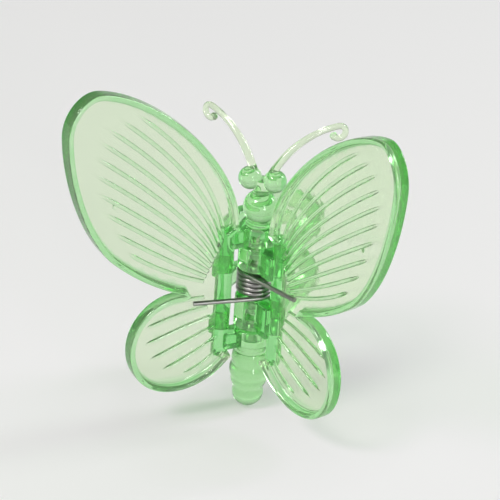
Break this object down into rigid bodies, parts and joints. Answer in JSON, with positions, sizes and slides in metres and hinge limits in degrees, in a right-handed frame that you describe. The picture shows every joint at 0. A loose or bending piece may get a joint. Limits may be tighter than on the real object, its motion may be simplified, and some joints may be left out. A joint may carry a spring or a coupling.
{
  "type": "orchid clip",
  "caption": "Butterfly-shaped spring clip whose curved prongs hold a plant stem to its stake, opened by pinching the wings.",
  "frame": {"origin": "centre of the round space that the closed prongs hold, half way along the spring", "axes": "+Z along the held stem towards the butterfly's head, -Y out of the butterfly's back, +X to its right wing"},
  "size_m": [0.0424, 0.034, 0.048],
  "materials": {
    "clear_plastic": "gloss, transparent pale green",
    "spring_steel": "drawn wire",
    "pin_steel": "drawn wire, cut ends"
  },
  "bodies": {
    "left": {"left_half": "clear_plastic", "torsion_spring": "spring_steel", "hinge_pin": "pin_steel"},
    "right": {"right_half": "clear_plastic"}
  },
  "joints": [
    {"name": "wing_hinge", "type": "hinge", "parent": "left", "child": "right", "pos_m": [0, -0.0085, 0], "axis": [0, 0, -1], "range_deg": [0, 48], "stiffness_Nm_per_rad": 0.013, "springref_deg": -51.57, "deforming": ["torsion_spring"]}
  ]
}
